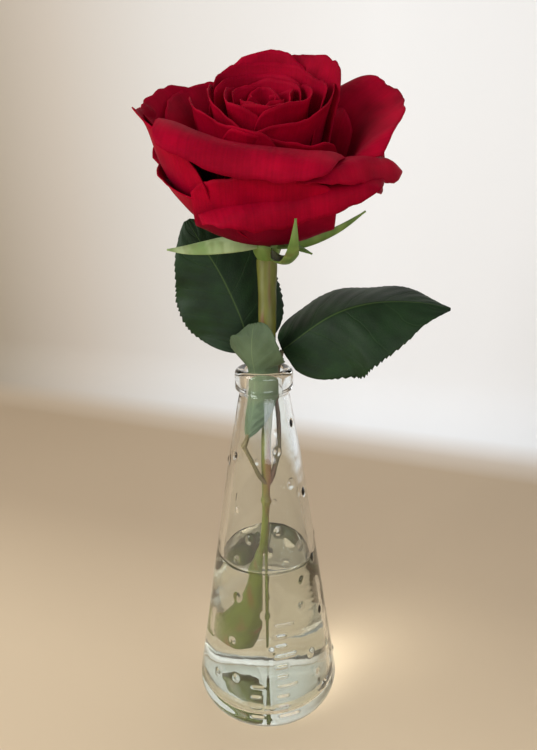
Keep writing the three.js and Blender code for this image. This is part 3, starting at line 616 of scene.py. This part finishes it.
def bubble_rise(azimuth, z, radius, bubbles):
    rise = 0.0
    for turn, height in bubbles:
        if abs(height - z) < BUBBLE["reach"]:
            across = round_the_glass(azimuth - turn, radius)
            away = math.hypot(across, (z - height) / BUBBLE["stretch"]) / BUBBLE["radius"]
            rise = max(rise, BUBBLE["rise"] * max(0, 1 - away * away) ** BUBBLE["power"])
    return rise


def bar_rise(azimuth, z, radius, column):
    row = round((z - column["lowest"]) / column["pitch"])
    if not 0 <= row < column["rows"]:
        return 0.0
    sweep = column["long"] if row % BAR["long_every"] == 0 else column["short"]
    off_z = abs(z - column["lowest"] - row * column["pitch"]) / BAR["half"]
    past = max(column["start"] - azimuth, azimuth - column["start"] - sweep, 0)
    ends = smooth_step(0, BAR["soft_ends"], math.radians(past) * radius)
    return BAR["rise"] * (1 - smooth_step(0.35, 1, off_z)) * (1 - ends)


def seam_rise(azimuth, z, radius, seam):
    across = abs(round_the_glass(azimuth - seam, radius))
    fade = 1 - smooth_step(*SEAM["fades"], z)
    return SEAM["rise"] * fade * (1 - smooth_step(0.2, 1, across / SEAM["width"]))


def relief(azimuth, z, radius, bubbles):
    """How far the glass stands out at a place: bubbles, plain bars and the mould's two seams."""
    return max(
        bubble_rise(azimuth, z, radius, bubbles),
        *(bar_rise(azimuth, z, radius, column) for column in BARS),
        *(seam_rise(azimuth, z, radius, SEAM["azimuth"] - half_turn) for half_turn in (0, 180)),
    )


def make_bottle():
    """The bottle is spun from its profile, and then its relief is raised where the wall is plain."""
    outside = bottle_outside()
    inside = hollow(BOTTLE["neck"][1])
    shape = spun(outside + list(reversed(inside)), BOTTLE["sides"])
    bubbles = bubble_places()
    low, high = BOTTLE["heel"][1] - 3, BOTTLE["neck"][1] - 3
    for point in shape.verts:
        z = point.co.z / MM
        radius = math.hypot(point.co.x, point.co.y) / MM
        if not low < z < high or radius < 1:
            continue
        azimuth = math.degrees(math.atan2(point.co.y, point.co.x)) % 360
        place = Vector((point.co.x, point.co.y, point.co.z * WAVES["stretch"])) * WAVES["per_metre"]
        wave = WAVES["rise"] * noise.noise(place)
        outside_wall = radius > wall_radius(max(z, BOTTLE["heel"][1])) - BOTTLE["wall"] / 2
        rise = relief(azimuth, z, radius, bubbles) + wave if outside_wall else WAVES["inside"] * wave
        point.co.x *= 1 + rise / radius
        point.co.y *= 1 + rise / radius
    bmesh.ops.recalc_face_normals(shape, faces=shape.faces)
    piece = finish_piece("bottle", shape, [MATERIALS["glass"]], "bud_vase", turn_out=False)
    # Light goes through glass and water, so neither throws a solid shadow.
    piece.visible_shadow = False


def make_water():
    """The water reaches a hair into the glass, so that light goes straight from one to the other."""
    profile = hollow(WATER_LEVEL + WATER["climb"], WATER["bite"])
    rim = profile[-1][0]
    profile += [(rim - inset, WATER_LEVEL + lift) for inset, lift in WATER_EDGE] + [(0, WATER_LEVEL)]
    shape = spun(profile, WATER["sides"])
    piece = finish_piece("standing_water", shape, [MATERIALS["water"]], "water")
    piece.visible_shadow = False


# ---------------------------------------------------------------- stem, leaves and calyx


def make_stem():
    main = tube_mesh(STEM, sides=36, rows=260, ridge=0.1)
    finish_piece("stem", main, [MATERIALS["stem"]], "rose_stem")


def make_stalks():
    stalks = {"stalk_front": FRONT_STALK, "stalk_side": SIDE_STALK, "stalk_back": BACK_STALK}
    for name, points in stalks.items():
        shape = tube_mesh(points, sides=18, rows=90, ridge=0.22, seed=len(name))
        finish_piece(name, shape, [MATERIALS["stalk"]], "rose_stem")


def leaf_outline(t, widest, blunt):
    """Half width of a leaf from 0 to 1: low powers in blunt give a blunt base and tip."""
    s = t / widest * 0.5 if t < widest else 0.5 + (t - widest) / (1 - widest) * 0.5
    return max(0.0, math.sin(math.pi * min(1, s))) ** (blunt[0] if t < widest else blunt[1])


def leaf_point(shape, path, u, v, teeth):
    """A point of a leaf, u from side to side and v from base to tip.

    The leaf is folded along its midrib, bent back round a radius that flares where it comes free, quilted
    between its side veins, waved at the margin and cut into teeth there.
    """
    x, y, z = path.at(v)
    ahead = path.heading(v)
    side = ahead.cross(Vector(shape["face"])).normalized()
    out = side.cross(ahead).normalized()
    radius = shape["bend"] + shape.get("flare", 0) * max(0, v - shape.get("free", 0))
    reach = abs(u)
    # The outline is read from just off the stalk to just off the tip, so that neither closes to a point.
    outline = leaf_outline(0.012 + 0.978 * v, shape["widest"], shape["blunt"])
    half = max(LEAF["narrowest"], shape["width"] * outline)
    if teeth:
        bite = (v * teeth + 0.15 * math.sin(v * 40)) % 1.0
        half *= 1 - LEAF["tooth"] * bite * smooth_step(0.8, 1.0, reach) * smooth_step(0.06, 0.2, v)
    across = half * reach
    turn = across / radius
    vein = math.cos(2 * math.pi * LEAF["side_veins"] * (v - 0.25 * reach))
    flat = smooth_step(0.02, 0.3, reach) * (1 - smooth_step(0.75, 1, reach))
    quilt = shape.get("quilt", LEAF["quilt"]) * (0.5 - 0.5 * vein) * flat
    wave = shape.get("wave", 0) * u * u * math.sin(v * 17 + math.copysign(2, u))
    back = radius * (1 - math.cos(turn)) + shape.get("fold", 0) * across + wave - quilt
    return Vector((x, y, z)) + side * math.copysign(radius * math.sin(turn), u) - out * back


def make_leaf(name, shape):
    """The front leaf shows its pale underside, so its skins change places."""
    path = Path(shape["midrib"])
    grid = grid_mesh(LEAF["columns"], LEAF["rows"],
                     lambda u, v: leaf_point(shape, path, u, v, LEAF["teeth"]))
    skins, slot = [MATERIALS["leaf_top"], MATERIALS["leaf_under"]], "leaf_dark"
    if name == "leaf_front":
        skins, slot = skins[::-1], "leaf_pale"
    finish_piece(name + "_blade", grid, skins, name, LEAF["thickness"], turn_out=False)


def in_flower():
    """Takes the flower's own frame, with its axis along Z, to its place on the stem."""
    tilt = Matrix.Rotation(math.radians(FLOWER["tilt"]), 4, "X")
    return Matrix.Translation(Vector(FLOWER["at"]) * MM) @ tilt


def make_calyx():
    rows = HIP_GRID["rows"]
    hip = spun([tuple(curve_through(HIP, i / rows)) for i in range(rows + 1)], HIP_GRID["sides"])
    close_ends(hip)
    bmesh.ops.transform(hip, matrix=in_flower(), verts=hip.verts)
    finish_piece("hip", hip, [MATERIALS["calyx"]], "calyx")
    for name, sepal in SEPALS.items():
        path = Path(sepal["midrib"])
        shape = SEPAL | sepal
        grid = grid_mesh(SEPAL_WALL["columns"], SEPAL_WALL["rows"],
                         lambda u, v: leaf_point(shape, path, u, v, teeth=0))
        # The left sepal turns its woolly inner side to the front.
        seen = MATERIALS["sepal_wool" if name == "sepal_left" else "calyx"]
        skins = [seen, MATERIALS["sepal_under"]]
        finish_piece(name, grid, skins, "calyx", SEPAL_WALL["thickness"], turn_out=False)


# ---------------------------------------------------------------- bloom


def bezier(a, b, c, d, steps):
    """Points of a curve from a to d that heads for b and comes in from c."""
    turns = [i / steps for i in range(steps + 1)]
    return [
        tuple((1 - t) ** 3 * p + 3 * (1 - t) ** 2 * t * q + 3 * (1 - t) * t * t * r + t ** 3 * s
              for p, q, r, s in zip(a, b, c, d))
        for t in turns
    ]


def petal_spine(petal, handle=0.4, steps=40):
    """Side view of a petal's middle: distance and height, from its root over the crest to the tip."""
    root, crest, tip = (petal.get("root", 4), petal.get("seat", 0)), petal["crest"], petal["tip"]
    angles = [math.radians(heading) for heading in petal["headings"]]
    leaves, turns, ends = [(math.sin(angle), math.cos(angle)) for angle in angles]
    rise, fall = math.dist(root, crest) * handle, math.dist(crest, tip) * handle

    def towards(point, heading, length):
        return (point[0] + heading[0] * length, point[1] + heading[1] * length)

    line = bezier(root, towards(root, leaves, rise), towards(crest, turns, -rise), crest, steps)
    line += bezier(crest, towards(crest, turns, fall), towards(tip, ends, -fall), tip, steps)[1:]
    return Path([(r, 0, z) for r, z in line], steps=len(line) * 3)


def petal_point(petal, spine, u, v):
    """A point of a petal in the flower's frame.

    phi is the azimuth of its middle and width its greatest width, and claw is the share of it at the
    root. cup is the bending radius across it at the root and at the edge, roll turns its side edges back
    from roll_from on, and rounding, power, corner and point shape the rim, which is a little ragged. sway
    lifts one side, droop lowers both, spiral tucks one side behind the next petal, ruffle waves the edge
    and soft dents the whole.
    """
    get = petal.get
    azimuth = math.radians(petal["phi"])
    claw = get("claw", 0.3)
    grown = math.sin(math.pi / 2 * min(1, v / PETAL["full_width_at"]))
    half = petal["width"] / 2 * (claw + (1 - claw) * grown)
    near, far = petal["cup"]
    radius = 1 / (1 / near + (1 / far - 1 / near) * min(1, v / PETAL["full_cup_at"]))
    reach = abs(u)
    seed = get("seed", 0.0)
    ragged = 0.022 * noise.noise(Vector((u * 3.2, seed, 3.7)))
    ragged += 0.012 * noise.noise(Vector((u * 9, seed, 1.3)))
    rim = 1 - get("rounding", 0.3) * reach ** get("power", 2.6) + get("ragged", 1) * ragged
    rim -= get("corner", 0) * max(0, (reach - 0.75) / 0.25) ** 2
    rim += get("point", 0) * math.exp(-(((u - get("point_at", 0)) / 0.16) ** 2))
    s = min(1.0, v * rim / (1 + get("point", 0)))
    r, _, z = spine.at(s)
    ahead = spine.heading(s)
    heading = min(math.atan2(ahead.x, ahead.z), math.radians(PETAL["steepest"]))
    across = inward = 0.0
    slices = PETAL["slices"]
    roll_from = get("roll_from", 0.6)
    for k in range(slices):
        w = (k + 0.5) / slices * reach
        back = math.radians(get("roll", 40)) * v ** 1.5 * max(0, (w - roll_from) / (1 - roll_from)) ** 1.3
        turn = w * half / radius - back
        across += math.cos(turn) * half * reach / slices
        inward += math.sin(turn) * half * reach / slices
    inward += get("ruffle", 0) * v ** 3 * math.sin(2 * math.pi * u + get("phase", 0))
    soft = noise.noise(Vector((u * 1.6, v * 1.3, seed)))
    soft += 0.45 * noise.noise(Vector((u * 4.2, v * 2.2, seed + 5)))
    inward += get("soft", 1.3) * v * v * soft
    out = r - inward * math.cos(heading) + get("spiral", 1.2) * u
    up = z + inward * math.sin(heading) + (get("sway", 0) * u - get("droop", 0) * u * u) * v
    side = math.copysign(across, u)
    return (
        out * math.cos(azimuth) - side * math.sin(azimuth),
        out * math.sin(azimuth) + side * math.cos(azimuth),
        up,
    )


def heart_petal(i):
    """The rolled petals of the heart stand closer and steeper the nearer they are to the middle."""
    share = i / (HEART["petals"] - 1)
    radius = HEART["radius"] + HEART["growth"] * share
    height = HEART["height"] + HEART["rise"] * share
    return dict(
        phi=HEART["start"] + HEART["turn"] * i, width=radius * 3, root=1.5 + 4 * share,
        crest=(radius * 0.95 + 1, height * 0.6), tip=(radius + 1, height),
        headings=(12 + 40 * share, -2, -14 + 34 * share), cup=(radius * 0.8 + 1, radius + 1.5 * share),
        roll=25 * share, roll_from=0.7, spiral=1.6, claw=0.35, rounding=0.12, corner=0.14, ruffle=0.7,
        phase=i * 1.7, soft=0.8, ragged=0.4, seed=i * 3.1,
    )


def make_petal(name, petal):
    spine = petal_spine(petal)
    grid = grid_mesh(PETAL["columns"], PETAL["rows"], lambda u, v: petal_point(petal, spine, u, v))
    bmesh.ops.transform(grid, matrix=in_flower(), verts=grid.verts)
    skins = [MATERIALS["petal"], MATERIALS["petal_back"]]
    finish_piece("petal_" + name, grid, skins, "rose_bloom", PETAL["thickness"], turn_out=False)


def make_bloom():
    for i in range(HEART["petals"]):
        make_petal(f"heart_{i + 1}", heart_petal(i))
    for i, (name, petal) in enumerate(PETALS.items()):
        make_petal(name, petal | {"seed": 10.0 + i * 2.7})


# ---------------------------------------------------------------- camera, light and room

CAMERA = {
    "at": (2.9, -240, 240), "pitch": 17.0, "roll": 0.7,
    "focal_px": 565, "long_side_px": 750, "sensor": 36,
}
# The foot of the wall goes through left and right. The backdrop's rows are shared out to the table, up to
# table_share, to the cove, up to cove_share, and to the wall.
ROOM = {
    "left": (-350, 460), "right": (247, 231), "cove": 70, "before_wall": 30, "front": 1400, "side": 1500,
    "height": 900, "table_share": 0.3, "cove_share": 0.6,
}
# A big soft window on the left, and the room's light from the right of the camera.
LIGHTS = {
    "window": {"at": (-850, -500, 600), "aim": (0, 0, 200), "size": (600, 700),
               "watts": 9.6, "tint": "#ffffff"},
    "fill": {"at": (350, -900, 210), "aim": (0, 0, 230), "size": (800, 380),
             "watts": 3.1, "tint": "#f4f6ff"},
}
ROOM_GLOW = {"tint": "#f5f6f7", "strength": 0.5}


def make_camera():
    camera = bpy.data.cameras.new("camera")
    camera.sensor_fit = "AUTO"
    camera.sensor_width = CAMERA["sensor"]
    camera.lens = CAMERA["focal_px"] * CAMERA["sensor"] / CAMERA["long_side_px"]
    camera.clip_start = 10 * MM
    holder = bpy.data.objects.new("camera", camera)
    holder.location = Vector(CAMERA["at"]) * MM
    holder.rotation_euler = (math.radians(90 - CAMERA["pitch"]), math.radians(CAMERA["roll"]), 0)
    bpy.context.scene.collection.objects.link(holder)
    bpy.context.scene.camera = holder


def backdrop_material():
    """Matt paint that goes softly from the warm table to the pale wall, with painted shade on the left of
    the wall and painted light at the near end of the table.
    """
    made, tree, shader = new_material("table_and_wall_paint", Roughness=0.75)
    uv = add(tree, "ShaderNodeUVMap", uv_map="blade")
    place = add(tree, "ShaderNodeTexCoord", output="Object")
    across = add(tree, "ShaderNodeSeparateXYZ", {"Vector": uv}, output="X")
    away = add(tree, "ShaderNodeSeparateXYZ", {"Vector": uv}, output="Y")
    # The table is mottled every third of a metre, and its near end is painted paler, as painted light.
    mottle = add(tree, "ShaderNodeTexNoise", {"Vector": place, "Scale": 1 / (333 * MM), "Detail": 3.0})
    table = add(tree, "ShaderNodeMix", {SHARE: mottle, FIRST: colour("#bea98d"), SECOND: colour("#b6a084")},
                MIXED, data_type="RGBA")
    near = add(tree, "ShaderNodeValToRGB", {"Fac": away}, stops=[(0.236, grey(1)), (0.264, grey(0))])
    table = add(tree, "ShaderNodeMix", {SHARE: near, FIRST: table, SECOND: colour("#d8c2a2")}, MIXED,
                data_type="RGBA")
    # The wall is painted darker and warmer on its left, as painted shade, and pale on the right.
    wall = add(tree, "ShaderNodeValToRGB", {"Fac": across}, stops=[
        (0.385, colour("#a39785")), (0.43, colour("#bfb6aa")), (0.48, colour("#d6d4d0")),
        (0.55, colour("#ebecec"))])
    rise = add(tree, "ShaderNodeValToRGB", {"Fac": away},
               stops=[(0.30, grey(0)), (0.37, grey(0.25)), (0.44, grey(1))])
    paint = add(tree, "ShaderNodeMix", {SHARE: rise, FIRST: table, SECOND: wall}, MIXED, data_type="RGBA")
    tree.links.new(paint, shader.inputs["Base Color"])
    return made


def make_room():
    """A table that sweeps up into a pale wall, which stands a little askew behind it."""
    left, right = Vector(ROOM["left"]), Vector(ROOM["right"])
    along = (right - left).normalized()
    back = Vector((-along.y, along.x))
    start = (left + right) / 2 - back * ROOM["before_wall"]
    table_share, cove_share = ROOM["table_share"], ROOM["cove_share"]

    def place(u, v):
        if v < table_share:
            depth, lift = (v / table_share - 1) * ROOM["front"], 0
        elif v < cove_share:
            turn = math.radians(90) * (v - table_share) / (cove_share - table_share)
            depth, lift = ROOM["cove"] * math.sin(turn), ROOM["cove"] * (1 - math.cos(turn))
        else:
            depth, lift = ROOM["cove"], ROOM["cove"] + (v - cove_share) / (1 - cove_share) * ROOM["height"]
        flat = start + along * u * ROOM["side"] + back * depth
        return (flat.x, flat.y, lift)

    shape = grid_mesh(1, 80, place)
    mesh = bpy.data.meshes.new("backdrop")
    shape.to_mesh(mesh)
    shape.free()
    piece = bpy.data.objects.new("backdrop", mesh)
    bpy.context.scene.collection.objects.link(piece)
    mesh.materials.append(backdrop_material())
    mesh.shade_smooth()


def add_light(name, at, aim, size, watts, tint):
    """A soft rectangular lamp that looks from one place to another."""
    lamp = bpy.data.lights.new(name, "AREA")
    lamp.shape = "RECTANGLE"
    lamp.size, lamp.size_y = (length * MM for length in size)
    lamp.energy = watts
    lamp.color = colour(tint)[:3]
    holder = bpy.data.objects.new(name, lamp)
    holder.location = Vector(at) * MM
    holder.rotation_euler = (Vector(aim) - Vector(at)).to_track_quat("-Z", "Y").to_euler()
    bpy.context.scene.collection.objects.link(holder)


def make_light():
    bpy.context.scene.view_settings.view_transform = "Standard"
    world = bpy.data.worlds.new("soft_room")
    bpy.context.scene.world = world
    world.use_nodes = True
    ground = world.node_tree.nodes["Background"]
    ground.inputs["Color"].default_value = colour(ROOM_GLOW["tint"])
    ground.inputs["Strength"].default_value = ROOM_GLOW["strength"]
    for name, light in LIGHTS.items():
        add_light(name, **light)


# ---------------------------------------------------------------- the object

make_camera()
make_room()
make_light()
make_bottle()
make_water()
make_stem()
make_stalks()
make_calyx()
for leaf_name, leaf_shape in LEAVES.items():
    make_leaf(leaf_name, leaf_shape)
make_bloom()
